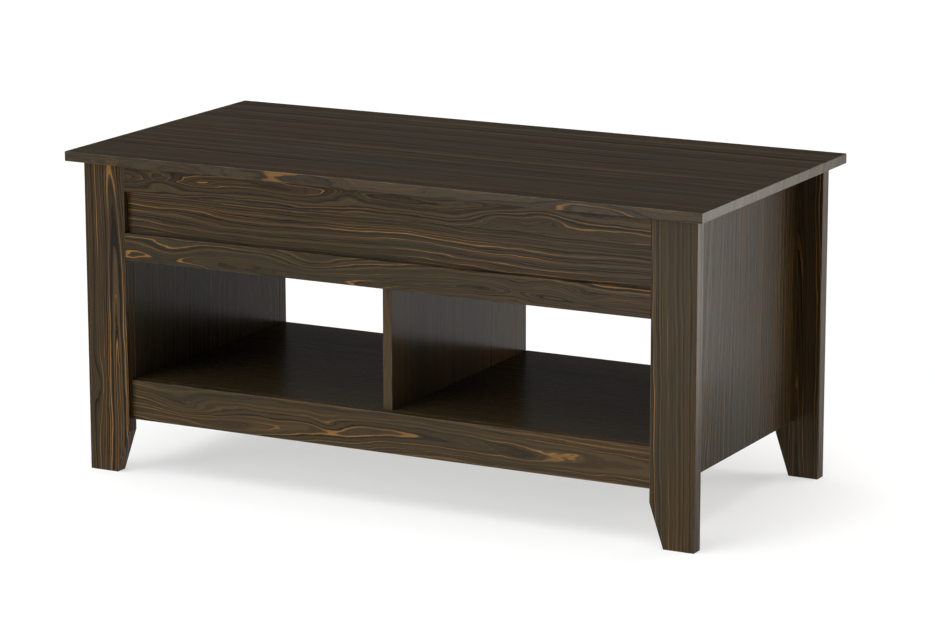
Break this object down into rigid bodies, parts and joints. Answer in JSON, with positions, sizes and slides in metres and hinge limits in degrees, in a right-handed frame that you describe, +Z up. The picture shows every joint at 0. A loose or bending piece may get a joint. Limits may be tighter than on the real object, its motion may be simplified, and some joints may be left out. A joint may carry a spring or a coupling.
{
  "type": "lift top coffee table",
  "caption": "Rectangular coffee table whose top lifts up and forward on steel hinges over a hidden compartment, with open shelf bays below and tapered board legs.",
  "frame": {"origin": "on the floor, under the middle of the top board", "axes": "+X to the right along the table's length, -Y towards the front, +Z up"},
  "size_m": [1.041, 0.518, 0.492],
  "materials": {
    "espresso_wood": "dark espresso wood-grain laminate, satin",
    "hinge_steel": "bright zinc plated, stamped",
    "pin_steel": "bright zinc plated, turned",
    "spring_steel": "oil-blackened spring wire",
    "nylon": "natural nylon",
    "rubber": "matt black rubber",
    "cam_zinc": "cast zinc alloy",
    "beech": "plain fluted beech",
    "screw_steel": "zinc plated"
  },
  "bodies": {
    "frame": {"base_pins_left": "pin_steel", "base_pins_right": "pin_steel", "base_screws_left": "screw_steel", "base_screws_right": "screw_steel", "base_washers_left": "nylon", "base_washers_right": "nylon", "bottom_rail_back": "espresso_wood", "bottom_rail_front": "espresso_wood", "bottom_shelf": "espresso_wood", "cam_bolts": "screw_steel", "cam_locks": "cam_zinc", "center_divider": "espresso_wood", "compartment_back": "espresso_wood", "compartment_floor": "espresso_wood", "compartment_front": "espresso_wood", "divider_screws": "screw_steel", "hinge_base_left": "hinge_steel", "hinge_base_right": "hinge_steel", "leg_back_left": "espresso_wood", "leg_back_right": "espresso_wood", "leg_front_left": "espresso_wood", "leg_front_right": "espresso_wood", "lift_spring_left": "spring_steel", "lift_spring_right": "spring_steel", "middle_rail": "espresso_wood", "side_panel_left": "espresso_wood", "side_panel_right": "espresso_wood", "stop_sleeve_left": "rubber", "stop_sleeve_right": "rubber", "stop_stud_left": "pin_steel", "stop_stud_right": "pin_steel", "upper_rail": "espresso_wood", "wood_dowels": "beech"},
    "front_arm_right": {"front_arm_right": "hinge_steel"},
    "front_arm_left": {"front_arm_left": "hinge_steel"},
    "rear_arm_right": {"rear_arm_right": "hinge_steel"},
    "rear_arm_left": {"rear_arm_left": "hinge_steel"},
    "top": {"table_top": "espresso_wood", "top_bracket_left": "hinge_steel", "top_bracket_right": "hinge_steel", "top_pins_left": "pin_steel", "top_pins_right": "pin_steel", "bracket_washers_left": "nylon", "bracket_washers_right": "nylon", "bracket_screws_left": "screw_steel", "bracket_screws_right": "screw_steel"}
  },
  "joints": [
    {"name": "lift", "type": "hinge", "parent": "frame", "child": "front_arm_right", "pos_m": [0.4273, -0.11, 0.425], "axis": [1, 0, 0], "range_deg": [0, 120]},
    {"name": "top_level", "type": "hinge", "parent": "front_arm_right", "child": "top", "pos_m": [0.4273, 0.089, 0.44241], "axis": [1, 0, 0], "range_deg": [-120, 0]},
    {"name": "rear_arm_right_turn", "type": "hinge", "parent": "frame", "child": "rear_arm_right", "pos_m": [0.4273, -0.016, 0.391], "axis": [1, 0, 0], "range_deg": [0, 120], "deforming": ["lift_spring_right"]},
    {"name": "front_arm_left_turn", "type": "hinge", "parent": "frame", "child": "front_arm_left", "pos_m": [-0.4273, -0.11, 0.425], "axis": [1, 0, 0], "range_deg": [0, 120]},
    {"name": "rear_arm_left_turn", "type": "hinge", "parent": "frame", "child": "rear_arm_left", "pos_m": [-0.4273, -0.016, 0.391], "axis": [1, 0, 0], "range_deg": [0, 120], "deforming": ["lift_spring_left"]}
  ],
  "couplings": [
    {"joint": "top_level", "follows": "lift", "ratio": -1},
    {"joint": "rear_arm_right_turn", "follows": "lift", "ratio": 1},
    {"joint": "front_arm_left_turn", "follows": "lift", "ratio": 1},
    {"joint": "rear_arm_left_turn", "follows": "lift", "ratio": 1}
  ]
}
